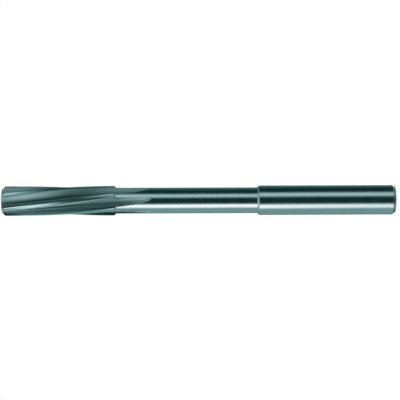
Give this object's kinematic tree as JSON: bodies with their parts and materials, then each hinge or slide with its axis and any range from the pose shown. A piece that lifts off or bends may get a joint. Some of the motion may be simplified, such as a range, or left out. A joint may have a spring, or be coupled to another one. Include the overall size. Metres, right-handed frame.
{
  "type": "machine reamer",
  "caption": "Straight-shank machine reamer with a left-hand spiral fluted cutting head, bevel lead, slimmer neck and plain cylindrical shank.",
  "frame": {"origin": "centre of the shank's flat end face, where the tool stands", "axes": "+Z along the tool's axis from the shank to the cutting end; the cutting edge that faces the front at the tip lies near -Y, and X and Y complete a right-handed frame"},
  "size_m": [0.01, 0.01, 0.133],
  "materials": {
    "ground_steel": "hardened high-speed tool steel, bare, cylindrically ground on shank, neck and lands, wheel-ground in the flutes"
  },
  "bodies": {
    "root": {"reamer": "ground_steel"}
  },
  "joints": []
}
